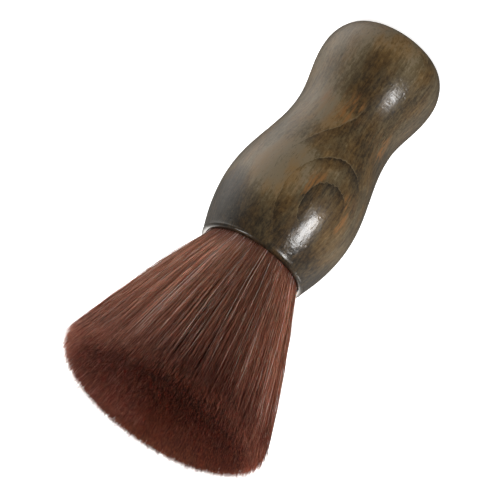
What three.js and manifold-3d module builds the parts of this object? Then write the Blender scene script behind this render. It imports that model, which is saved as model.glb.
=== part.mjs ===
// Neck duster brush: a turned wooden handle with a blind socket, and a flared knot of soft fibres
// that is bound, cast in a resin plug and glued into the socket. Millimetres, +Z up.
// The brush stands on the flat end of its handle, with the origin in the middle of that face.
import * as THREE from 'three';
import { mergeVertices } from 'three/addons/utils/BufferGeometryUtils.js';
import Module from 'manifold-3d';

const wasm = await Module();
wasm.setup();

// Driving dimensions of the handle.
const HANDLE_LENGTH = 88;
const FOOT_RADIUS = 14;
const KNOB = { radius: 20.6, height: 10.7 };
const WAIST = { radius: 17.4, height: 32.3 };
const BELLY = { radius: 22.6, height: 65.6 };
const BELLY_WAVE = { drop: 19, length: 67.4 };
const LIP_ROUNDING = 1.6;

// Driving dimensions of the socket and of what is glued into it.
const SOCKET_RADIUS = 16.9;
const SOCKET_DEPTH = 24;
const GLUE_WALL = 1.2;
const GLUE_FLOOR = 1.4;
const GLUE_HEIGHT = 20;
const PLUG_HEIGHT = 7;
const THREAD_DIAMETER = 1;
const THREAD_TURNS = 4;
const THREAD_LIFT = 2;

// Driving dimensions of the fibre knot.
const FAN_RIM_RADIUS = 35.8;
const FAN_SIDE_HEIGHT = 50.6;
const FAN_DOME_HEIGHT = 13.1;
const FAN_DOME_POWER = 2.44;
const CENTRE_SHARE = 0.34;
const INNER_SHARE = 0.68;
const INNER_TUFTS = 6;
const OUTER_TUFTS = 12;

// The fibres bend over their lowest stretch. One ball-shaped seam stands for that bend.
const BEND_LIFT = 16;
const SEAM_RADIUS = 22.2;

const GAP = 0.3;
const SEGMENTS = 36;

const SOCKET_FLOOR = HANDLE_LENGTH - SOCKET_DEPTH;
const FAN_RIM_HEIGHT = HANDLE_LENGTH + FAN_SIDE_HEIGHT;
const OVERALL_HEIGHT = FAN_RIM_HEIGHT + FAN_DOME_HEIGHT;
const FAN_SLOPE = (FAN_RIM_RADIUS - SOCKET_RADIUS) / FAN_SIDE_HEIGHT;
const BEND_HEIGHT = HANDLE_LENGTH + BEND_LIFT;
const KNOT_RADIUS = SOCKET_RADIUS - GLUE_WALL - 2 * GAP;
const PLUG_BOTTOM = SOCKET_FLOOR + GLUE_FLOOR + 2 * GAP;
const ROOTS_BOTTOM = PLUG_BOTTOM + PLUG_HEIGHT + GAP;
const GROOVE_RADIUS = KNOT_RADIUS - THREAD_DIAMETER - GAP;
const GROOVE_BOTTOM = ROOTS_BOTTOM + THREAD_LIFT;
const GROOVE_TOP = GROOVE_BOTTOM + THREAD_TURNS * THREAD_DIAMETER + 2 * GAP;
const GLUE_TOP = SOCKET_FLOOR + GLUE_HEIGHT;

const finishes = {
  wood: new THREE.MeshStandardMaterial({ color: 0x50432f, roughness: 0.35, metalness: 0 }),
  glue: new THREE.MeshStandardMaterial({ color: 0xb9a878, roughness: 0.3, metalness: 0 }),
  resin: new THREE.MeshStandardMaterial({ color: 0x2b2422, roughness: 0.4, metalness: 0 }),
  thread: new THREE.MeshStandardMaterial({ color: 0xd8d0c0, roughness: 0.8, metalness: 0 }),
  fibre: new THREE.MeshStandardMaterial({ color: 0x5e3226, roughness: 0.55, metalness: 0 }),
};

const assembly = new THREE.Group();

function addPiece(name, geometry, finish, turn = 0) {
  const piece = new THREE.Mesh(geometry, finishes[finish]);
  piece.name = name;
  piece.rotation.z = turn;
  assembly.add(piece);
}

// Evenly spaced points of a function of a share that runs from 0 to 1.
function sample(count, pointAt) {
  const points = [];
  for (let step = 0; step <= count; step += 1) {
    points.push(pointAt(step / count));
  }
  return points;
}

// A solid of revolution about +Z from radius and height pairs.
function turned(profile) {
  const points = profile.map(([radius, height]) => new THREE.Vector2(radius, height));
  return new THREE.LatheGeometry(points, SEGMENTS).rotateX(Math.PI / 2);
}

function toSolid(geometry) {
  const bare = geometry.clone();
  bare.deleteAttribute('normal');
  bare.deleteAttribute('uv');
  const merged = mergeVertices(bare);
  const corners = merged.index.array;
  const triangles = [];
  for (let i = 0; i < corners.length; i += 3) {
    const [a, b, c] = corners.slice(i, i + 3);
    if (a !== b && b !== c && c !== a) {
      triangles.push(a, b, c);
    }
  }
  const mesh = new wasm.Mesh({
    numProp: 3,
    vertProperties: new Float32Array(merged.attributes.position.array),
    triVerts: new Uint32Array(triangles),
  });
  return new wasm.Manifold(mesh);
}

function toGeometry(solid) {
  const mesh = solid.getMesh();
  const geometry = new THREE.BufferGeometry();
  geometry.setAttribute('position', new THREE.BufferAttribute(mesh.vertProperties, 3));
  geometry.setIndex(new THREE.BufferAttribute(mesh.triVerts, 1));
  geometry.computeVertexNormals();
  return geometry;
}

// Half a cosine wave between a crest and a valley, as radius and height pairs.
function wave(from, to, count) {
  const mean = (from.radius + to.radius) / 2;
  const swing = (from.radius - to.radius) / 2;
  return sample(count, (share) => [
    mean + swing * Math.cos(Math.PI * share),
    from.height + share * (to.height - from.height),
  ]);
}

// The belly runs down to the mouth on the first part of a longer wave.
function bellyToLip(count) {
  const run = HANDLE_LENGTH - LIP_ROUNDING - BELLY.height;
  return sample(count, (share) => {
    const angle = Math.PI * share * run / BELLY_WAVE.length;
    return [BELLY.radius - BELLY_WAVE.drop / 2 * (1 - Math.cos(angle)), BELLY.height + share * run];
  });
}

// A quarter ellipse rounds the foot out to the knob.
function footRounding(count) {
  return sample(count, (share) => {
    const angle = share * Math.PI / 2;
    const radius = FOOT_RADIUS + (KNOB.radius - FOOT_RADIUS) * Math.sin(angle);
    return [radius, KNOB.height * (1 - Math.cos(angle))];
  });
}

// The rounded lip runs from the outside of the mouth over to the bore.
function lip(count, outerRadius) {
  return sample(count, (share) => {
    const angle = share * Math.PI / 2;
    const radius = SOCKET_RADIUS + (outerRadius - SOCKET_RADIUS) * Math.cos(angle);
    return [radius, HANDLE_LENGTH - LIP_ROUNDING * (1 - Math.sin(angle))];
  });
}

function handleProfile() {
  const shoulder = bellyToLip(6);
  const [outerRadius] = shoulder[shoulder.length - 1];
  return [
    [0, 0],
    ...footRounding(7),
    ...wave(KNOB, WAIST, 7).slice(1),
    ...wave(WAIST, BELLY, 9).slice(1),
    ...shoulder.slice(1),
    ...lip(4, outerRadius).slice(1),
    [SOCKET_RADIUS, SOCKET_FLOOR],
    [0, SOCKET_FLOOR],
  ];
}

// A cup of glue between the socket and the knot.
function glueProfile() {
  const outer = SOCKET_RADIUS - GAP;
  const inner = outer - GLUE_WALL;
  const bottom = SOCKET_FLOOR + GAP;
  return [
    [0, bottom],
    [outer, bottom],
    [outer, GLUE_TOP],
    [inner, GLUE_TOP],
    [inner, bottom + GLUE_FLOOR],
    [0, bottom + GLUE_FLOOR],
  ];
}

function plugProfile() {
  return [
    [0, PLUG_BOTTOM],
    [KNOT_RADIUS - GAP, PLUG_BOTTOM],
    [KNOT_RADIUS - GAP, PLUG_BOTTOM + PLUG_HEIGHT],
    [0, PLUG_BOTTOM + PLUG_HEIGHT],
  ];
}

// Turns of thread side by side, as one ring with a scalloped outside.
function bindingProfile() {
  const inner = GROOVE_RADIUS + GAP;
  const bottom = GROOVE_BOTTOM + GAP;
  const height = THREAD_TURNS * THREAD_DIAMETER;
  const scallops = sample(THREAD_TURNS * 4, (share) => {
    const swell = Math.abs(Math.sin(Math.PI * THREAD_TURNS * share));
    return [inner + THREAD_DIAMETER / 2 * (1 + swell), bottom + share * height];
  });
  return [[inner, bottom], ...scallops, [inner, bottom + height], [inner, bottom]];
}

// Radius of the fan of fibres at a height, along its straight side.
function fanRadius(height) {
  return SOCKET_RADIUS + FAN_SLOPE * (height - HANDLE_LENGTH);
}

// The angle from straight down, about the bend's centre, at which a ball meets the fan's side.
// The side is a straight line, so the angle lies a little below the line's nearest point.
function seamAngle(radius) {
  const flare = Math.atan(FAN_SLOPE);
  const nearest = fanRadius(BEND_HEIGHT) * Math.cos(flare);
  return Math.PI / 2 - flare - Math.acos(nearest / radius);
}

// The seam as an arc from the axis out to the fan's side.
function seam(radius, count) {
  const end = seamAngle(radius);
  return sample(count, (share) => [
    radius * Math.sin(share * end),
    BEND_HEIGHT - radius * Math.cos(share * end),
  ]);
}

// The fixed lower ends of the fibres, from the resin plug up to the seam.
function rootsProfile() {
  return [
    [0, ROOTS_BOTTOM],
    [KNOT_RADIUS, ROOTS_BOTTOM],
    [KNOT_RADIUS, GROOVE_BOTTOM],
    [GROOVE_RADIUS, GROOVE_BOTTOM],
    [GROOVE_RADIUS, GROOVE_TOP],
    [KNOT_RADIUS, GROOVE_TOP],
    [KNOT_RADIUS, GLUE_TOP + GAP],
    [SOCKET_RADIUS - GAP, GLUE_TOP + 2 * GAP],
    [SOCKET_RADIUS - GAP, HANDLE_LENGTH - GAP],
    ...seam(SEAM_RADIUS, 7).reverse(),
  ];
}

// The whole free head: seam below, straight flared side, domed tips.
function headProfile() {
  const dome = sample(9, (share) => {
    const rise = Math.sin(share * Math.PI / 2);
    const reach = Math.max(0, 1 - rise * rise) ** (1 / FAN_DOME_POWER);
    return [FAN_RIM_RADIUS * reach, FAN_RIM_HEIGHT + FAN_DOME_HEIGHT * rise];
  });
  dome[dome.length - 1][0] = 0;
  return [...seam(SEAM_RADIUS - GAP, 7), ...dome];
}

// A flared shell between two shares of the fan's radius, taller than the head at both ends.
function shell(innerShare, outerShare) {
  const bottom = BEND_HEIGHT - SEAM_RADIUS - 2;
  const top = OVERALL_HEIGHT + 2;
  const half = GAP / 2;
  const outer = [
    [outerShare * fanRadius(bottom) - half, bottom],
    [outerShare * fanRadius(top) - half, top],
  ];
  if (innerShare === 0) {
    return turned([[0, bottom], ...outer, [0, top]]);
  }
  const inner = [
    [innerShare * fanRadius(top) + half, top],
    [innerShare * fanRadius(bottom) + half, bottom],
  ];
  return turned([...outer, ...inner, outer[0]]);
}

// A wedge about the +X direction whose two walls stand half a gap inside the sector.
function wedge(halfAngle) {
  const reach = 2 * FAN_RIM_RADIUS;
  const apex = GAP / 2 / Math.sin(halfAngle);
  const outline = new THREE.Shape([
    new THREE.Vector2(apex, 0),
    new THREE.Vector2(apex + reach * Math.cos(halfAngle), -reach * Math.sin(halfAngle)),
    new THREE.Vector2(apex + reach * Math.cos(halfAngle), reach * Math.sin(halfAngle)),
  ]);
  return new THREE.ExtrudeGeometry(outline, { depth: OVERALL_HEIGHT + 5, bevelEnabled: false });
}

function addTuftRing(name, count, innerShare, outerShare, head) {
  const ring = head.intersect(toSolid(shell(innerShare, outerShare)));
  const tuft = toGeometry(ring.intersect(toSolid(wedge(Math.PI / count))));
  for (let number = 1; number <= count; number += 1) {
    addPiece(`${name}_${number}`, tuft, 'fibre', (number - 1) * 2 * Math.PI / count);
  }
}

addPiece('handle', turned(handleProfile()), 'wood');
addPiece('socket_glue', turned(glueProfile()), 'glue');
addPiece('resin_plug', turned(plugProfile()), 'resin');
addPiece('binding_thread', turned(bindingProfile()), 'thread');
addPiece('bristle_roots', turned(rootsProfile()), 'fibre');

const head = toSolid(turned(headProfile()));
addPiece('tuft_centre', toGeometry(head.intersect(toSolid(shell(0, CENTRE_SHARE)))), 'fibre');
addTuftRing('tuft_inner', INNER_TUFTS, CENTRE_SHARE, INNER_SHARE, head);
addTuftRing('tuft_outer', OUTER_TUFTS, INNER_SHARE, 1 + GAP / FAN_RIM_RADIUS, head);

export default assembly;
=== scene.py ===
"""Neck duster brush: lacquered turned wooden handle and a flared, domed head of fine fibres.

Everything is in metres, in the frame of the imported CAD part: the brush stands on z = 0, bristles up.
"""
import math

import bpy
import numpy as np
from mathutils import Matrix, Vector


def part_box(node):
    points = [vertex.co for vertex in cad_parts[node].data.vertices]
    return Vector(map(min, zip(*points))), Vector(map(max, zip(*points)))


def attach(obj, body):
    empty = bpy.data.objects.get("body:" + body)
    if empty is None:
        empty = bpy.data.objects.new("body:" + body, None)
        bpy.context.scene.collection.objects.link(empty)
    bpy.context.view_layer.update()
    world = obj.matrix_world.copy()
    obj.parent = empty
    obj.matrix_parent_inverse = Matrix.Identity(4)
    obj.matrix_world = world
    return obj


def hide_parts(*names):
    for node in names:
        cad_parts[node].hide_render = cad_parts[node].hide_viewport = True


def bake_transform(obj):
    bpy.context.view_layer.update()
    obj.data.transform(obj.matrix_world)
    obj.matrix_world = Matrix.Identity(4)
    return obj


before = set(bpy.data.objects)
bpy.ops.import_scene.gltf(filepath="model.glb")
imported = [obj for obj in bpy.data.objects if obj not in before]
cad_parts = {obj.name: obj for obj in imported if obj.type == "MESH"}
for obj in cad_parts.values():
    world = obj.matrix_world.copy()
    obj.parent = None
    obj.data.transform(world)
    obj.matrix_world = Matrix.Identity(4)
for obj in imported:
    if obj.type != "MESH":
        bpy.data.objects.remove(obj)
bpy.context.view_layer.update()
MM = 0.001
TURN = 2 * math.pi

# ---------------------------------------------------------------------------------------------
# Sizes that come from the frame
# ---------------------------------------------------------------------------------------------


def corner_points(name):
    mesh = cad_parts[name].data
    points = np.zeros(len(mesh.vertices) * 3)
    mesh.vertices.foreach_get("co", points)
    return points.reshape(-1, 3)


def fan_rim():
    """Radius and height of the fan's widest ring."""
    points = corner_points("tuft_outer_1")
    radii = np.hypot(points[:, 0], points[:, 1])
    widest = points[radii > radii.max() - 0.05 * MM]
    return radii.max(), widest[:, 2].min()


MOUTH_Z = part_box("handle")[1].z
TOP_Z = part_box("tuft_centre")[1].z
RIM_RADIUS, RIM_Z = fan_rim()
DOME_HEIGHT = TOP_Z - RIM_Z
PLUG_TOP_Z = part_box("resin_plug")[1].z
PLUG_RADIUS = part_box("resin_plug")[1].x
ROOT_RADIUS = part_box("socket_glue")[1].x

# ---------------------------------------------------------------------------------------------
# Shader node helpers
# ---------------------------------------------------------------------------------------------

COLOUR_MIX_INPUTS = (0, 6, 7)
COLOUR_MIX_OUTPUT = 2


def feed(tree, socket, value):
    """Gives a socket a value, or links it to the socket that feeds it."""
    if isinstance(value, bpy.types.NodeSocket):
        tree.links.new(value, socket)
    else:
        socket.default_value = value


def node(tree, kind, inputs=None, **settings):
    """Adds a shader node. Inputs are values or the sockets that feed them."""
    made = tree.nodes.new(kind)
    for name, value in settings.items():
        setattr(made, name, value)
    for name, value in (inputs or {}).items():
        feed(tree, made.inputs[name], value)
    return made


def maths(tree, operation, first, second=0.0):
    return node(tree, "ShaderNodeMath", {0: first, 1: second}, operation=operation).outputs[0]


def total(tree, first, *others):
    """Everything given, added together."""
    for other in others:
        first = maths(tree, "ADD", first, other)
    return first


def product(tree, first, *others):
    """Everything given, multiplied together."""
    for other in others:
        first = maths(tree, "MULTIPLY", first, other)
    return first


def centred(tree, level, reach):
    """A level from 0 to 1, turned into an offset of up to half the reach each way."""
    return product(tree, maths(tree, "SUBTRACT", level, 0.5), reach)


def vector_maths(tree, operation, *values):
    made = node(tree, "ShaderNodeVectorMath", dict(enumerate(values)), operation=operation)
    return made.outputs["Value" if operation in ("LENGTH", "DOT_PRODUCT") else "Vector"]


def ramp(tree, share, stops, interpolation="LINEAR"):
    """A colour ramp from (place, colour) stops, where a colour is a grey level or three levels."""
    made = node(tree, "ShaderNodeValToRGB", {"Fac": share})
    made.color_ramp.interpolation = interpolation
    elements = made.color_ramp.elements
    while len(elements) < len(stops):
        elements.new(1.0)
    for element, (place, colour) in zip(elements, stops):
        element.position = place
        levels = colour if isinstance(colour, tuple) else (colour, colour, colour)
        element.color = (*levels, 1.0)
    return made.outputs["Color"]


def mix_colour(tree, share, first, second, blend="MIX"):
    made = node(tree, "ShaderNodeMix", data_type="RGBA", blend_type=blend)
    for index, value in zip(COLOUR_MIX_INPUTS, (share, first, second)):
        feed(tree, made.inputs[index], (*value, 1.0) if isinstance(value, tuple) else value)
    return made.outputs[COLOUR_MIX_OUTPUT]


def object_place(tree):
    return node(tree, "ShaderNodeTexCoord").outputs["Object"]


def stretched(tree, across, along):
    """Object coordinates scaled by one amount across the grain and another along it."""
    inputs = {"Vector": object_place(tree), "Scale": (across, across, along)}
    return node(tree, "ShaderNodeMapping", inputs).outputs[0]


def noise(tree, vector, scale=1.0, detail=4.0, roughness=0.5):
    inputs = {"Vector": vector, "Scale": scale, "Detail": detail, "Roughness": roughness}
    return node(tree, "ShaderNodeTexNoise", inputs).outputs["Fac"]


def bump(tree, height, strength):
    inputs = {"Strength": strength, "Distance": 0.1 * MM, "Height": height}
    return node(tree, "ShaderNodeBump", inputs).outputs["Normal"]


def new_material(name, values):
    """A material, its node tree and its Principled shader, with uniform values set on the sockets."""
    material = bpy.data.materials.new(name)
    material.use_nodes = True
    shader = material.node_tree.nodes["Principled BSDF"]
    for socket, value in values.items():
        shader.inputs[socket].default_value = value
    return material, material.node_tree, shader


# ---------------------------------------------------------------------------------------------
# Mesh helpers
# ---------------------------------------------------------------------------------------------

BAKE_MAP = "OFBake"


def ring_quads(rows, sides):
    """Quads that join each ring of points to the next one."""
    row, side = np.meshgrid(np.arange(rows - 1), np.arange(sides), indexing="ij")
    onward = (side + 1) % sides
    return np.stack([
        row * sides + side, row * sides + onward,
        (row + 1) * sides + onward, (row + 1) * sides + side,
    ], -1).reshape(-1, 4)


def ring_uvs(edges, heights):
    """Map places of the corners of ring_quads, from the sides' edges and the rings' heights."""
    row, side = np.meshgrid(np.arange(len(heights) - 1), np.arange(len(edges) - 1), indexing="ij")
    left, right = edges[side], edges[side + 1]
    low, high = heights[row], heights[row + 1]
    return np.stack([
        np.stack([left, low], -1), np.stack([right, low], -1),
        np.stack([right, high], -1), np.stack([left, high], -1),
    ], -2).reshape(-1, 4, 2)


def point_uvs(left, right, base, point):
    """Map places of triangles that stand on the sides' edges and meet in a point."""
    return np.stack([
        np.stack([left, np.full(len(left), base)], -1),
        np.stack([right, np.full(len(left), base)], -1),
        np.stack([(left + right) / 2, np.full(len(left), point)], -1),
    ], -2)


def mesh_object(name, points, faces, uvs, material):
    """A smooth mesh from an array of points, and equal-sized groups of faces with their corner UVs."""
    corners = np.concatenate([group.ravel() for group in faces])
    sizes = np.concatenate([np.full(len(group), group.shape[1]) for group in faces])
    mesh = bpy.data.meshes.new(name)
    mesh.vertices.add(len(points))
    mesh.vertices.foreach_set("co", points.astype(np.float32).ravel())
    mesh.loops.add(len(corners))
    mesh.loops.foreach_set("vertex_index", corners.astype(np.int32))
    mesh.polygons.add(len(sizes))
    mesh.polygons.foreach_set("loop_start", (np.cumsum(sizes) - sizes).astype(np.int32))
    mesh.update(calc_edges=True)
    layer = mesh.uv_layers.new(name=BAKE_MAP)
    flat = np.concatenate([group.reshape(-1, 2) for group in uvs])
    layer.data.foreach_set("uv", flat.astype(np.float32).ravel())
    mesh.polygons.foreach_set("use_smooth", np.ones(len(sizes), bool))
    mesh.materials.append(material)
    made = bpy.data.objects.new(name, mesh)
    bpy.context.scene.collection.objects.link(made)
    return made


def add_attribute(piece, name, values):
    attribute = piece.data.attributes.new(name, "FLOAT", "POINT")
    attribute.data.foreach_set("value", values.astype(np.float32))


# ---------------------------------------------------------------------------------------------
# Handle: its shape
# ---------------------------------------------------------------------------------------------

HANDLE_SEGMENTS = 160
ROWS_PER_SPAN = 5
ROUND_SPANS_AT_MOUTH = 4
SOCKET_GAP = 0.3 * MM
MAP_EDGE = 0.01

# Shares of the foot's radius, the socket's depth and the socket's radius where the flat or straight
# stretches have their rows.
FOOT_SHARES = (0.02, 0.3, 0.6, 0.85)
BORE_SHARES = (0.1, 0.4, 0.7, 1)
FLOOR_SHARES = (0.6, 0.02)

# Size, count round the handle, twist in radians per metre of height, and phase of each wave.
HAND_WAVES = (
    (1.0, 3, 130, 0.0),
    (0.7, 5, -210, 1.3),
    (0.35, 11, 480, 0.0),
    (0.3, 17, -390, 0.0),
)
WAVE_HEIGHT = 0.022 * MM


def handle_rings():
    """Radius and height of the CAD handle's outer rings, from the foot to the mouth."""
    points = corner_points("handle")
    radii = np.hypot(points[:, 0], points[:, 1])
    heights = np.round(points[:, 2], 6)
    levels = np.unique(heights)
    rings = [(radii[heights == level].max(), level) for level in levels]
    inner_steps = [
        index for index in range(1, len(rings) - 1)
        if rings[index][0] < 0.9 * min(rings[index - 1][0], rings[index + 1][0])
    ]
    return np.array([ring for index, ring in enumerate(rings) if index not in inner_steps])


def smooth_curve(points, rows_per_span):
    """A Catmull-Rom curve through the points."""
    padded = np.vstack([2 * points[0] - points[1], points, 2 * points[-1] - points[-2]])
    share = np.linspace(0, 1, rows_per_span, endpoint=False)[:, None]
    spans = []
    for before, start, end, after in zip(padded, padded[1:], padded[2:], padded[3:]):
        spans.append(0.5 * (
            2 * start + (end - before) * share
            + (2 * before - 5 * start + 4 * end - after) * share ** 2
            + (3 * start - before - 3 * end + after) * share ** 3
        ))
    return np.vstack([*spans, points[-1:]])


def hand_turned(angle, height):
    """The slight waviness of a surface that was sanded and lacquered by hand."""
    waves = 0
    for size, count, twist, phase in HAND_WAVES:
        waves = waves + size * np.sin(count * angle + twist * height + phase)
    return WAVE_HEIGHT * waves


def handle_profile():
    """Radius and height of each row of points, from the foot to the socket's floor, and the wavy rows."""
    outside = smooth_curve(handle_rings(), ROWS_PER_SPAN)
    bore_radius = outside[-1, 0]
    floor_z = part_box("socket_glue")[0].z - SOCKET_GAP
    foot = [(outside[0, 0] * share, 0.0) for share in FOOT_SHARES]
    bore = [(bore_radius, MOUTH_Z + (floor_z - MOUTH_Z) * share) for share in BORE_SHARES]
    floor = [(bore_radius * share, floor_z) for share in FLOOR_SHARES]
    first = len(foot) + ROWS_PER_SPAN
    last = len(foot) + len(outside) - ROUND_SPANS_AT_MOUTH * ROWS_PER_SPAN
    return np.vstack([foot, outside, bore, floor]), slice(first, last)


def turned_points(profile, wavy_rows):
    """Rings of points round the axis, and a point on the axis for each end."""
    angle = np.arange(HANDLE_SEGMENTS) * TURN / HANDLE_SEGMENTS
    height = np.repeat(profile[:, 1:], HANDLE_SEGMENTS, axis=1)
    radius = np.repeat(profile[:, :1], HANDLE_SEGMENTS, axis=1)
    radius[wavy_rows] += hand_turned(angle, height[wavy_rows])
    rings = np.stack([radius * np.cos(angle), radius * np.sin(angle), height], -1)
    ends = [(0, 0, profile[0, 1]), (0, 0, profile[-1, 1])]
    return np.vstack([rings.reshape(-1, 3), ends])


def end_caps(rows):
    """A fan of triangles that closes the foot, and one that closes the socket's floor."""
    around = np.arange(HANDLE_SEGMENTS)
    onward = (around + 1) % HANDLE_SEGMENTS
    last_ring = (rows - 1) * HANDLE_SEGMENTS
    foot_point = np.full(HANDLE_SEGMENTS, rows * HANDLE_SEGMENTS)
    return np.vstack([
        np.stack([onward, around, foot_point], -1),
        np.stack([last_ring + around, last_ring + onward, foot_point + 1], -1),
    ])


def handle_uvs(profile):
    """Once round the handle across the map, and the profile's length up it."""
    lengths = np.hypot(*np.diff(profile, axis=0).T)
    gone = np.concatenate([[0], np.cumsum(lengths)]) / lengths.sum()
    heights = MAP_EDGE + (1 - 2 * MAP_EDGE) * gone
    edges = np.arange(HANDLE_SEGMENTS + 1) / HANDLE_SEGMENTS
    foot = point_uvs(edges[1:], edges[:-1], heights[0], 0)
    floor = point_uvs(edges[:-1], edges[1:], heights[-1], 1)
    return [ring_uvs(edges, heights), np.vstack([foot, floor])]


def handle_mesh(material):
    profile, wavy_rows = handle_profile()
    rows = len(profile)
    points = turned_points(profile, wavy_rows)
    faces = [ring_quads(rows, HANDLE_SEGMENTS), end_caps(rows)]
    return mesh_object("turned_handle", points, faces, handle_uvs(profile), material)


# ---------------------------------------------------------------------------------------------
# Handle: its wood
# ---------------------------------------------------------------------------------------------

# The growth rings run round a pith that lies outside the handle, so the surface cuts through them in
# arches and an eye.
PITH = Vector((23, 55.4, 0)) * MM
FIRST_RING_DEPTH = 0.8 * MM
RING_WIDENING = 2.02
GRAIN_SLOPE = 0.05
BELLY_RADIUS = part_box("handle")[1].x
BELLY_Z = max(corner_points("handle"), key=lambda point: np.hypot(point[0], point[1]))[2]

# Spots on the handle: the centre and the half sizes in millimetres, and the strength.
EVEN_STAIN = 0.20
STAIN_POOLS = (
    ((-17, -12, 38), (18, 16, 66), 0.28),
    ((-2, -19, 23), (14, 12, 16), 0.42),
    ((-16, 6, 24), (10, 14, 26), 0.50),
    ((-7, -15, 44), (11, 11, 20), 0.36),
    ((-9, -20, 70), (14, 12, 18), 0.26),
    ((0, 0, 99), (60, 60, 34), 0.70),
    ((16, -6, 82), (10, 16, 20), 0.85),
    ((8, 18, 28), (14, 10, 14), 0.38),
    ((-14, 14, 60), (11, 12, 18), 0.36),
    ((17, 8, 50), (8, 14, 10), 0.30),
    ((2, 24, 46), (24, 18, 60), 0.24),
    ((20, 11, 44), (15, 17, 64), 0.26),
)
THIN_STAIN = (
    ((7, -17, 64), (13, 10, 14), 0.48),
    ((4, -14, 7), (13, 11, 9), 0.25),
    ((7, -13, 38), (9, 8, 11), 0.30),
    ((-14, -10, 66), (6, 9, 9), 0.30),
    ((-5, -19, 13), (13, 9, 7), 0.10),
)
AMBER_PATCHES = (
    ((4, -17, 34), (10, 9, 8), 1.0),
    ((-12, -13, 36), (5, 7, 9), 1.0),
    ((-2, -21, 64), (5, 8, 10), 1.0),
    ((-15, -15, 64), (5, 8, 10), 1.0),
    ((12, 10, 30), (9, 9, 12), 0.8),
    ((-10, 18, 68), (9, 9, 12), 0.8),
)
CLEAR_RINGS = (
    ((-1, -19, 56), (16, 16, 30), 1.0),
    ((-2, 20, 50), (16, 16, 30), 0.8),
)

STAIN_COLOURS = [
    (0.0, (0.285, 0.218, 0.130)),
    (0.25, (0.190, 0.141, 0.073)),
    (0.5, (0.121, 0.085, 0.042)),
    (0.75, (0.063, 0.045, 0.025)),
    (1.0, (0.025, 0.019, 0.012)),
]
WARM_TINGE = (1.12, 0.92, 0.68)
AMBER = (0.34, 0.157, 0.052)
PALE_LINE = (0.26, 0.20, 0.12)
FILLED_PORE = (0.02, 0.015, 0.010)


def growth_rings(tree):
    """How many growth rings lie between a point and the bark's side. They are wider near the pith."""
    place = object_place(tree)
    from_pith = vector_maths(tree, "SUBTRACT", place, PITH)
    distance = vector_maths(tree, "LENGTH", vector_maths(tree, "MULTIPLY", from_pith, (1, 1, 0)))
    rise = vector_maths(tree, "DOT_PRODUCT", place, (0, 0, GRAIN_SLOPE))
    bark_side = PITH.length + BELLY_RADIUS + GRAIN_SLOPE * BELLY_Z
    depth = maths(tree, "SUBTRACT", maths(tree, "SUBTRACT", bark_side, distance), rise)
    sway = noise(tree, stretched(tree, 70, 35), detail=2)
    ragged = noise(tree, stretched(tree, 1100, 70), detail=6, roughness=0.8)
    depth = total(tree, depth, centred(tree, sway, 0.9 * MM), centred(tree, ragged, 0.7 * MM))
    share = maths(tree, "MAXIMUM", maths(tree, "DIVIDE", depth, FIRST_RING_DEPTH), 0.0)
    return maths(tree, "POWER", share, 1 / RING_WIDENING)


def soft_spot(tree, centre, size):
    """1 at a place on the handle, given in millimetres, falling to 0 at the given half sizes."""
    offset = vector_maths(tree, "SUBTRACT", object_place(tree), Vector(centre) * MM)
    reach = vector_maths(tree, "LENGTH", vector_maths(tree, "DIVIDE", offset, Vector(size) * MM))
    return ramp(tree, reach, [(0.0, 1.0), (0.55, 0.85), (1.0, 0.0)], "EASE")


def spots(tree, places):
    """The strongest of several soft spots."""
    strongest = 0.0
    for centre, size, strength in places:
        spot = product(tree, soft_spot(tree, centre, size), strength)
        strongest = maths(tree, "MAXIMUM", strongest, spot)
    return strongest


def stain_amount(tree, year, clear):
    """How dark the stain is: pooled in places, darker towards the end of each year, and uneven."""
    pooled = total(tree, spots(tree, STAIN_POOLS), EVEN_STAIN)
    thinned = maths(tree, "SUBTRACT", pooled, spots(tree, THIN_STAIN))
    late_wood = ramp(tree, year, [(0.0, 0.0), (0.5, 0.0), (0.9, 0.6), (0.985, 1.0), (0.995, 0.0)])
    cloud = noise(tree, stretched(tree, 120, 60), detail=5, roughness=0.6)
    mottle = noise(tree, stretched(tree, 1300, 700), detail=4, roughness=0.75)
    grain = noise(tree, stretched(tree, 1100, 90), detail=4, roughness=0.65)
    return total(
        tree, thinned, product(tree, late_wood, clear, 0.5),
        centred(tree, cloud, 0.9), centred(tree, mottle, 1.1), centred(tree, grain, 1.05))


def stain_colour(tree, amount):
    """Olive brown, warmer in places."""
    stained = ramp(tree, amount, STAIN_COLOURS)
    tinge = noise(tree, stretched(tree, 180, 70), detail=4, roughness=0.6)
    warmer = mix_colour(tree, 1.0, stained, WARM_TINGE, "MULTIPLY")
    return mix_colour(tree, ramp(tree, tinge, [(0.42, 0.0), (0.62, 1.0)]), stained, warmer)


def amber_share(tree, year, past_first):
    """How much amber wood shows, in thin flames beside the edge of each growth ring."""
    beside = ramp(tree, year, [(0.0, 0.25), (0.02, 0.5), (0.06, 1.0), (0.25, 0.8), (0.5, 0.2)])
    flame = noise(tree, stretched(tree, 850, 110), detail=5, roughness=0.6)
    flames = ramp(tree, flame, [(0.47, 0.0), (0.56, 1.0)])
    amount = product(tree, beside, flames, past_first, spots(tree, AMBER_PATCHES), 1.3)
    return product(tree, maths(tree, "MINIMUM", amount, 1.0), 0.85)


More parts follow.
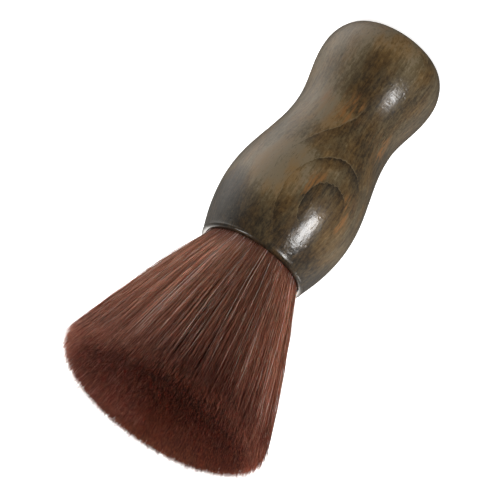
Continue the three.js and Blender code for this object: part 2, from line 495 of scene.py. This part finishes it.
def wood_colour(tree, pores):
    """Stained wood with amber flames, pale lines at the edges of its growth rings, and dark pores."""
    rings = growth_rings(tree)
    year = maths(tree, "FRACT", rings)
    past_first = maths(tree, "GREATER_THAN", rings, 1.0)
    clear = spots(tree, CLEAR_RINGS)
    stained = stain_colour(tree, stain_amount(tree, year, clear))
    warm = mix_colour(tree, amber_share(tree, year, past_first), stained, AMBER)
    line = ramp(tree, year, [(0.0, 1.0), (0.012, 1.0), (0.025, 0.0), (0.992, 0.0), (1.0, 1.0)])
    lined = mix_colour(tree, product(tree, line, past_first, clear, 0.75), warm, PALE_LINE)
    return mix_colour(tree, ramp(tree, pores, [(0.30, 0.4), (0.40, 0.0)]), lined, FILLED_PORE)


def lacquer_relief(tree, pores):
    """Height of the lacquer: small pits, a soft peel, sanding marks round the handle, and the pores."""
    dents = node(tree, "ShaderNodeTexVoronoi", {
        "Vector": stretched(tree, 1, 0.7), "Scale": 620.0, "Randomness": 1.0,
    }, feature="F1").outputs["Distance"]
    pits = ramp(tree, dents, [(0.0, 0.0), (0.25, 1.0)])
    peel = noise(tree, stretched(tree, 620, 340), detail=2)
    sanding = noise(tree, stretched(tree, 160, 1500), detail=2)
    layers = ((pits, 0.7), (peel, 1.2), (sanding, 0.4), (pores, 0.3))
    return total(tree, *(product(tree, layer, weight) for layer, weight in layers))


def lacquered_wood():
    material, tree, shader = new_material("lacquered_wood", {
        "IOR": 1.45, "Specular IOR Level": 0.2,
        "Coat Weight": 1.0, "Coat Roughness": 0.16, "Coat IOR": 1.5,
    })
    pores = noise(tree, stretched(tree, 2200, 300), detail=2, roughness=0.7)
    worn = noise(tree, stretched(tree, 420, 160), detail=5)
    relief = bump(tree, lacquer_relief(tree, pores), 0.6)
    feed(tree, shader.inputs["Base Color"], wood_colour(tree, pores))
    feed(tree, shader.inputs["Roughness"], ramp(tree, worn, [(0.35, 0.36), (0.7, 0.55)]))
    feed(tree, shader.inputs["Normal"], relief)
    feed(tree, shader.inputs["Coat Normal"], relief)
    return material


def make_handle():
    handle = handle_mesh(lacquered_wood())
    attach(handle, "handle")
    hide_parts("handle")


# ---------------------------------------------------------------------------------------------
# Fibres: where they grow
# ---------------------------------------------------------------------------------------------

FIBRES = 32000
STRANDS = 4500
FIBRE_JITTER = 0.5
STRAND_JITTER = 0.9
STRAND_PULL = 0.4
BLOCKS = 40
GOLDEN_ANGLE = math.pi * (3 - math.sqrt(5))

FIBRE_RADIUS = 0.07 * MM
THINNEST, THICKEST = 0.75, 1.25
SIDES = 3
SKIN = 0.4 * MM
MEAN_SPARE = 0.5 * MM
TIP_DROP = 1.55 * MM
TIP_CONE = 0.35 * MM
DOME_POWER = 2.0
FAN_LEAN = -1.5 * MM
SIDE_BULGE = 0.5 * MM
FREE_STEPS = np.array([0, 0.25, 0.5, 0.72, 0.87, 0.945, 1])
TAPER = np.array([1, 1, 1, 1, 0.9, 0.7, 0.4])

DRIFT = 0.45 * MM
STRAY_SHARE = 0.05
STRAY_DRIFT = 1.5 * MM
BOW = 0.4 * MM
SWAY = 0.25 * MM

# A few long, thicker pale hairs lie on the outside of the head. Their pale colour is partly their own and
# partly a painted highlight along them.
PALE_GLINT_FROM = 0.95
PALE_GLINT_SHARE = 0.015
PALE_GLINT_LIFT = 0.4 * MM
PALE_GLINT_THICKENING = 1.45

# Broad lighter and darker locks go round the head. Painted light: the head is also painted lighter
# towards one side, where the light falls, and lighter at both ends of the X axis and darker at the front
# and back, for the light at its edges.
LOCKS = 4
LOCK_TURN = math.radians(262)
LOCK_STRENGTH = 0.36
PAINTED_LIGHT_SIDE = math.radians(335)
PAINTED_LIGHT_SIDE_STRENGTH = 0.6
PAINTED_LIGHT_SIDE_LEVEL = 0.54
PAINTED_EDGE_LIGHT_STRENGTH = 0.5


def sunflower(count, jitter, random):
    """Evenly spread places on the unit disc, as shares of the radius and angles."""
    index = np.arange(count) + 0.5
    across = on_disc(np.sqrt(index / count), index * GOLDEN_ANGLE)
    across += random.normal(0, jitter / math.sqrt(count), across.shape)
    share = np.minimum(np.hypot(across[:, 0], across[:, 1]), 1.0)
    return share, np.arctan2(across[:, 1], across[:, 0]) % TURN


def on_disc(share, angle):
    return np.stack([share * np.cos(angle), share * np.sin(angle)], -1)


def nearest_strand(places, centres):
    """The index of the strand that each fibre belongs to, found in blocks to spare the memory."""
    found = []
    for block in np.array_split(places, BLOCKS):
        gap = ((block[:, None] - centres[None]) ** 2).sum(-1)
        found.append(gap.argmin(1))
    return np.concatenate(found)


def lock_tone_and_painted_light(angle):
    """How much lighter or darker the head is in each direction: its locks, and painted light towards one
    side and at both ends of the X axis.
    """
    locks = -LOCK_STRENGTH * np.cos(LOCKS * (angle - LOCK_TURN))
    # Painted light: lighter on the side where the light falls.
    painted_light_side = PAINTED_LIGHT_SIDE_STRENGTH * (np.cos(angle - PAINTED_LIGHT_SIDE) - PAINTED_LIGHT_SIDE_LEVEL)
    # Painted light at both ends of the X axis, painted shade at the front and back.
    return locks + painted_light_side + PAINTED_EDGE_LIGHT_STRENGTH * np.cos(2 * angle)


def tip_heights(share, random):
    dome = DOME_HEIGHT * np.sqrt(1 - np.minimum(share, 0.999) ** DOME_POWER)
    spare = random.exponential(MEAN_SPARE, FIBRES) - TIP_DROP
    return RIM_Z + dome + spare


def fibre_tones(share, random):
    """The tone of each fibre, from dark to pale, and which ones are the long pale hairs, whose palest
    tone is partly a painted highlight.
    """
    tone = random.random(FIBRES)
    glint_hairs = (share > PALE_GLINT_FROM) & (random.random(FIBRES) < PALE_GLINT_SHARE)
    tone[glint_hairs] = 1.0
    return tone, glint_hairs


def wandering(random):
    """How far each fibre strays by its tip, bows to one side, and sways to both."""
    stray = random.random(FIBRES) < STRAY_SHARE
    spread = np.where(stray, STRAY_DRIFT, DRIFT)
    drift = random.normal(0, 1, (FIBRES, 2)) * spread[:, None]
    bow = random.normal(0, 1, (FIBRES, 2)) * BOW
    sway = random.normal(0, 1, (FIBRES, 2)) * SWAY
    return drift, bow, sway


def root_rows(place):
    """The two rows of points inside the socket, just above the plug and below the mouth."""
    heights = (PLUG_TOP_Z + 0.2 * MM, MOUTH_Z - 2 * MM)
    radii = (PLUG_RADIUS - 0.4 * MM, ROOT_RADIUS - 0.2 * MM)
    return [
        np.column_stack([place * radius, np.full(FIBRES, height)])
        for height, radius in zip(heights, radii)
    ]


def free_row(step, tip_z, place, to_strand, pull, lift, wander):
    """The points of all the fibres at one step, from 0 at the mouth to 1 at the tip."""
    start_z = MOUTH_Z + 0.4 * MM
    z = start_z + (tip_z - start_z) * step
    rise = (z - MOUTH_Z) / (RIM_Z - MOUTH_Z)
    radius = ROOT_RADIUS + (RIM_RADIUS - SKIN - ROOT_RADIUS) * rise
    radius = radius + SIDE_BULGE * 4 * step * (1 - step)
    gather = (pull * math.sin(math.pi * min(1, step * 1.15) * 0.62) ** 2)[:, None]
    drift, bow, sway = wander
    flat = (place + to_strand * gather) * (radius + lift)[:, None] + drift * step ** 1.6
    flat += bow * math.sin(math.pi * step) + sway * math.sin(2 * math.pi * step)
    flat[:, 0] += FAN_LEAN * rise
    return np.column_stack([flat, z])


def grow_fibres(random):
    """The centre line, thickness and colour values of every fibre, as arrays with a row per fibre."""
    share, angle = sunflower(FIBRES, FIBRE_JITTER, random)
    centres = on_disc(*sunflower(STRANDS, STRAND_JITTER, random))
    place = on_disc(share, angle)
    strand = nearest_strand(place, centres)
    tip_z = tip_heights(share, random)
    tone, glint_hairs = fibre_tones(share, random)
    wander = wandering(random)
    pull = random.uniform(0.0, STRAND_PULL, STRANDS)[strand]

    rows = root_rows(place)
    roots = len(rows)
    for step in FREE_STEPS:
        rows.append(free_row(
            step, tip_z, place, centres[strand] - place, pull, glint_hairs * PALE_GLINT_LIFT, wander))
    thick = FIBRE_RADIUS * random.uniform(THINNEST, THICKEST, FIBRES)
    thick *= np.where(glint_hairs, PALE_GLINT_THICKENING, 1.0)
    return {
        "line": np.stack(rows, 1),
        "thickness": thick[:, None] * np.concatenate([np.ones(roots), TAPER]),
        "share": share,
        "angle": angle,
        "along": np.concatenate([np.zeros(roots), FREE_STEPS]),
        "fibre_tone": tone,
        # The strand's tone also carries the painted light round the head.
        "strand_tone_and_painted_light": random.random(STRANDS)[strand] + lock_tone_and_painted_light(angle),
        "inward": 1 - share,
    }


# ---------------------------------------------------------------------------------------------
# Fibres: their meshes
# ---------------------------------------------------------------------------------------------

CENTRE_SHARE = 0.34
INNER_SHARE = 0.68
SMALL_TUFT = 2048
CELL_LEFT, CELL_RIGHT = 0.12, 0.88
CELL_ROOT, CELL_TOP, CELL_TIP = 0.03, 0.90, 0.97


def tube_points(line, thickness):
    """Corner points of three-sided tubes around the centre lines, then one tip point for each tube."""
    turn = np.arange(SIDES) * TURN / SIDES
    corner = np.stack([np.cos(turn), np.sin(turn), np.zeros(SIDES)], -1)
    tubes = line[:, :, None, :] + corner[None, None] * thickness[:, :, None, None]
    heading = line[:, -1] - line[:, -2]
    heading /= np.linalg.norm(heading, axis=1, keepdims=True)
    tips = line[:, -1] + heading * TIP_CONE
    return np.vstack([tubes.reshape(-1, 3), tips])


def tube_faces(count, rows):
    """Side quads, tip triangles and root triangles, with corner numbers that match tube_points."""
    first = np.arange(count)[:, None] * rows * SIDES
    quads = (first[:, None] + ring_quads(rows, SIDES)).reshape(-1, 4)
    around = np.arange(SIDES)
    top = first + (rows - 1) * SIDES
    tip = np.repeat(count * rows * SIDES + np.arange(count), SIDES)
    tips = np.stack([(top + around).ravel(), (top + (around + 1) % SIDES).ravel(), tip], -1)
    roots = first + np.array([0, 2, 1])
    return [quads, tips, roots]


def tube_uvs(count, rows):
    """One small cell of the map for each fibre, so that a baked map keeps every fibre's own colour."""
    columns = 128 if count <= SMALL_TUFT else 256
    lines = 2 ** math.ceil(math.log2(count / columns))
    size = np.array([1 / columns, 1 / lines])
    cell = np.arange(count)
    corner = np.stack([cell % columns, cell // columns], -1)[:, None, None] * size
    edges = np.linspace(CELL_LEFT, CELL_RIGHT, SIDES + 1)
    patterns = (
        ring_uvs(edges, np.linspace(CELL_ROOT, CELL_TOP, rows)),
        point_uvs(edges[:-1], edges[1:], CELL_TOP, CELL_TIP),
        np.array([[(0.2, CELL_ROOT), (0.5, CELL_ROOT), (0.8, CELL_ROOT)]]),
    )
    return [(corner + pattern[None] * size).reshape(-1, *pattern.shape[1:]) for pattern in patterns]


def tuft_members(fibres):
    """Which fibres belong to each CAD tuft, by the tuft's name."""
    share, angle = fibres["share"], fibres["angle"]
    members = {"tuft_centre": share < CENTRE_SHARE}
    rings = (
        ("tuft_inner", 6, (share >= CENTRE_SHARE) & (share < INNER_SHARE)),
        ("tuft_outer", 12, share >= INNER_SHARE),
    )
    for name, count, in_ring in rings:
        sector = np.floor(angle / TURN * count + 0.5) % count
        for number in range(count):
            members[f"{name}_{number + 1}"] = in_ring & (sector == number)
    return members


def make_tuft(name, fibres, chosen, material):
    line = fibres["line"][chosen]
    count, rows = line.shape[:2]
    points = tube_points(line, fibres["thickness"][chosen])
    piece = mesh_object(
        f"fibres_{name}", points, tube_faces(count, rows), tube_uvs(count, rows), material)
    along = np.tile(np.repeat(fibres["along"], SIDES), count)
    add_attribute(piece, "along", np.concatenate([along, np.ones(count)]))
    for tone in ("fibre_tone", "strand_tone_and_painted_light", "inward"):
        values = fibres[tone][chosen]
        add_attribute(piece, tone, np.concatenate([np.repeat(values, rows * SIDES), values]))
    replaced = [name, "bristle_roots"] if name == "tuft_centre" else [name]
    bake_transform(piece)
    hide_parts(*replaced)


def make_fibres():
    fibres = grow_fibres(np.random.default_rng(7))
    material = fibre_material()
    for name, chosen in tuft_members(fibres).items():
        make_tuft(name, fibres, chosen, material)


# ---------------------------------------------------------------------------------------------
# Fibres: their colour, with painted light and shade
# ---------------------------------------------------------------------------------------------

# Reddish brown along an outer fibre, with painted shade at the root and a painted dark band below the
# tip, then a lighter last stop that is painted light at the very end.
OUTER_COLOURS_AND_PAINTED_SHADE = [
    (0.0, (0.28, 0.122, 0.084)),
    (0.07, (0.71, 0.330, 0.214)),
    (0.6, (0.62, 0.274, 0.178)),
    (0.94, (0.45, 0.182, 0.122)),
    (0.99, (0.17, 0.062, 0.048)),
    (1.0, (0.34, 0.125, 0.085)),
]
# Painted shade inside the head: the inner fibres darken sooner.
INNER_PAINTED_SHADE_COLOURS = [
    (0.0, (0.50, 0.21, 0.12)),
    (0.7, (0.18, 0.068, 0.050)),
    (0.92, (0.034, 0.018, 0.017)),
    (1.0, (0.036, 0.019, 0.018)),
]
# Pale hairs: partly their own colour, partly a painted highlight.
PALE_HAIR = (0.95, 0.68, 0.60)
# Painted light at the very tips.
PAINTED_TIP_GLOW = (0.80, 0.32, 0.18)
PALE_TONE = 0.91


def attribute(tree, name):
    return node(tree, "ShaderNodeAttribute", attribute_name=name).outputs["Fac"]


def length_colour_and_painted_shade(tree, along):
    """Reddish brown with painted shade: darker at the root, where the lip shades the fibres, and a dark
    band below the tip for the shade among the tips. The fibres inside the head are painted darker sooner,
    for the shade inside it.
    """
    outer = ramp(tree, along, OUTER_COLOURS_AND_PAINTED_SHADE)
    inner = ramp(tree, along, INNER_PAINTED_SHADE_COLOURS)
    # How much of the painted inner shade each fibre takes.
    depth = ramp(tree, attribute(tree, "inward"), [(0.07, 0.0), (0.22, 1.0)])
    return mix_colour(tree, depth, outer, inner)


def toned(tree, colour):
    """The colour made darker or paler by the fibre's own tone and its strand's, which also carries the
    painted light round the head.
    """
    own = product(tree, attribute(tree, "fibre_tone"), 0.7)
    shared = product(tree, attribute(tree, "strand_tone_and_painted_light"), 0.3)
    levels = ramp(tree, total(tree, own, shared), [(0.1, 0.36), (0.5, 0.83), (0.9, (1.5, 1.6, 1.75))])
    return mix_colour(tree, 1.0, colour, levels, "MULTIPLY")


def with_pale_hairs(tree, colour, along):
    """The palest fibres are nearly pink for most of their length: partly their own pale colour, partly a
    painted highlight along them.
    """
    stops = [(PALE_TONE - 0.01, 0.0), (PALE_TONE, 0.5), (1.0, 1.0)]
    pale = ramp(tree, attribute(tree, "fibre_tone"), stops)
    fade = ramp(tree, along, [(0.75, 1.0), (0.93, 0.0)])
    return mix_colour(tree, product(tree, pale, fade), colour, PALE_HAIR)


def with_painted_tip_glow(tree, colour):
    """A painted glow at the very ends, most of all at the rim, stands in for light shining through them.
    """
    tip = ramp(tree, attribute(tree, "along"), [(0.99, 0.0), (1.0, 0.28)])
    outside = ramp(tree, attribute(tree, "inward"), [(0.1, 0.9), (0.3, 0.3), (0.6, 0.45)])
    return mix_colour(tree, product(tree, tip, outside), colour, PAINTED_TIP_GLOW)


def fibre_material():
    material, tree, shader = new_material("bristle_fibre", {
        "Roughness": 0.5, "IOR": 1.45, "Specular IOR Level": 0.18,
        "Subsurface Weight": 0.3, "Subsurface Radius": (1.0, 0.32, 0.24), "Subsurface Scale": 0.3 * MM,
    })
    # The painted dark band starts a little sooner on some fibres and strands and later on others.
    late = centred(tree, attribute(tree, "fibre_tone"), 0.13)
    later = centred(tree, attribute(tree, "strand_tone_and_painted_light"), 0.06)
    along = maths(tree, "SUBTRACT", maths(tree, "SUBTRACT", attribute(tree, "along"), late), later)
    colour = toned(tree, length_colour_and_painted_shade(tree, along))
    colour = with_painted_tip_glow(tree, with_pale_hairs(tree, colour, along))
    feed(tree, shader.inputs["Base Color"], colour)
    return material


# ---------------------------------------------------------------------------------------------
# Pieces inside the socket, which keep their CAD shapes
# ---------------------------------------------------------------------------------------------

# Material name, dark and light colour, fineness of the mottling, and roughness of each piece.
INNER_FINISHES = {
    "socket_glue": ("set_epoxy", (0.42, 0.34, 0.17), (0.55, 0.47, 0.27), 160, 0.3),
    "resin_plug": ("cast_resin", (0.02, 0.016, 0.014), (0.04, 0.03, 0.026), 240, 0.35),
    "binding_thread": ("waxed_thread", (0.55, 0.5, 0.42), (0.75, 0.7, 0.6), 1900, 0.8),
}


def mottled(name, dark, light, scale, roughness):
    material, tree, shader = new_material(name, {"Roughness": roughness})
    cloud = noise(tree, stretched(tree, 1, 1), scale=scale, detail=5)
    colour = mix_colour(tree, ramp(tree, cloud, [(0.35, 0.0), (0.65, 1.0)]), dark, light)
    feed(tree, shader.inputs["Base Color"], colour)
    feed(tree, shader.inputs["Normal"], bump(tree, cloud, 0.3))
    return material


def dress_inner_pieces():
    for name, finish in INNER_FINISHES.items():
        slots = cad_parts[name].data.materials
        slots.clear()
        slots.append(mottled(*finish))


# ---------------------------------------------------------------------------------------------
# Camera, lights and floor
# ---------------------------------------------------------------------------------------------

CAMERA_DISTANCE = 0.8
CAMERA_ELEVATION = 22
CAMERA_ROLL = -145.4
CAMERA_LENS = 186
AIM = Vector((2.5 * MM, 0, 84.4 * MM))

# Azimuth and elevation in degrees, distance, size, and brightness.
SOFTBOXES = {
    "front_softbox": (-43, -3, 0.36, (0.18, 0.15), 2.5),
    "front_core": (-43, -2, 0.35, (0.08, 0.12), 16),
    "side_softbox": (-106, 20, 0.6, (0.10, 0.25), 3.5),
    "lip_softbox": (60, 50, 0.8, (0.28, 0.20), 7),
}

# Azimuth and elevation in degrees, strength, and sharpness.
GLOWS = (
    (96, -25, 1.5, 5.5),
    (-112, 5, 0.50, 5.0),
    (178, 30, 5.5, 10.0),
    (180, 65, 1.2, 6.0),
)
AMBIENT = 0.06
BACKDROP = 1.05
WARM_LIGHT = (1.0, 0.965, 0.91)
WHITE = (1.0, 1.0, 1.0)

FLOOR_REACH = 4.0
FLOOR_GLOW = 0.85


def direction(azimuth, elevation):
    """The way from the brush to something round it. Azimuth 0 is the camera's side, 90 is +X."""
    a, e = math.radians(azimuth), math.radians(elevation)
    return Vector((math.sin(a) * math.cos(e), -math.cos(a) * math.cos(e), math.sin(e)))


def make_camera():
    data = bpy.data.cameras.new("camera")
    data.lens = CAMERA_LENS
    camera = bpy.data.objects.new("camera", data)
    bpy.context.scene.collection.objects.link(camera)
    back = direction(0, CAMERA_ELEVATION)
    facing = (-back).to_track_quat("-Z", "Y").to_matrix().to_4x4()
    roll = Matrix.Rotation(math.radians(CAMERA_ROLL), 4, "Z")
    camera.matrix_world = Matrix.Translation(AIM + back * CAMERA_DISTANCE) @ facing @ roll
    bpy.context.scene.camera = camera


def make_softbox(name, azimuth, elevation, distance, size, brightness):
    """A soft light facing the brush. A brightness of 1 is that of a white surface in the render."""
    data = bpy.data.lights.new(name, "AREA")
    data.shape = "RECTANGLE"
    data.size, data.size_y = size
    data.energy = brightness * math.pi * size[0] * size[1]
    light = bpy.data.objects.new(name, data)
    bpy.context.scene.collection.objects.link(light)
    light.visible_camera = False
    way = direction(azimuth, elevation)
    facing = way.to_track_quat("Z", "Y").to_matrix().to_4x4()
    light.matrix_world = Matrix.Translation(AIM + way * distance) @ facing


def make_lights():
    for name, setting in SOFTBOXES.items():
        make_softbox(name, *setting)


def make_world():
    """White where the camera sees it. What lights the brush is dim and warm, with broad soft glows."""
    world = bpy.data.worlds.new("studio")
    bpy.context.scene.world = world
    world.use_nodes = True
    tree = world.node_tree
    tree.nodes.clear()
    way = node(tree, "ShaderNodeTexCoord").outputs["Generated"]
    level = AMBIENT
    for azimuth, elevation, strength, sharpness in GLOWS:
        facing = vector_maths(tree, "DOT_PRODUCT", way, direction(azimuth, elevation))
        glow = maths(tree, "POWER", maths(tree, "MAXIMUM", facing, 0.0), sharpness)
        level = total(tree, level, product(tree, glow, strength))
    seen = node(tree, "ShaderNodeLightPath").outputs["Is Camera Ray"]
    level = maths(tree, "MAXIMUM", level, product(tree, seen, BACKDROP))
    tint = mix_colour(tree, seen, WARM_LIGHT, WHITE)
    sky = node(tree, "ShaderNodeBackground", {"Color": tint, "Strength": level})
    output = node(tree, "ShaderNodeOutputWorld")
    tree.links.new(sky.outputs[0], output.inputs["Surface"])


def make_floor():
    """A pale floor for the camera. It takes no part in the lighting, so low softboxes shine through."""
    material = new_material("pale_floor", {
        "Base Color": (0.8, 0.8, 0.8, 1), "Roughness": 0.9,
        "Emission Color": (1, 1, 1, 1), "Emission Strength": FLOOR_GLOW,
    })[0]
    mesh = bpy.data.meshes.new("floor")
    corners = [(x * FLOOR_REACH, y * FLOOR_REACH, 0) for x, y in ((-1, -1), (1, -1), (1, 1), (-1, 1))]
    mesh.from_pydata(corners, [], [(0, 1, 2, 3)])
    mesh.materials.append(material)
    floor = bpy.data.objects.new("floor", mesh)
    bpy.context.scene.collection.objects.link(floor)
    floor.visible_diffuse = False
    floor.visible_glossy = False
    floor.visible_shadow = False


bpy.context.scene.view_settings.view_transform = "Standard"
make_camera()
make_lights()
make_world()
make_floor()
make_handle()
dress_inner_pieces()
make_fibres()
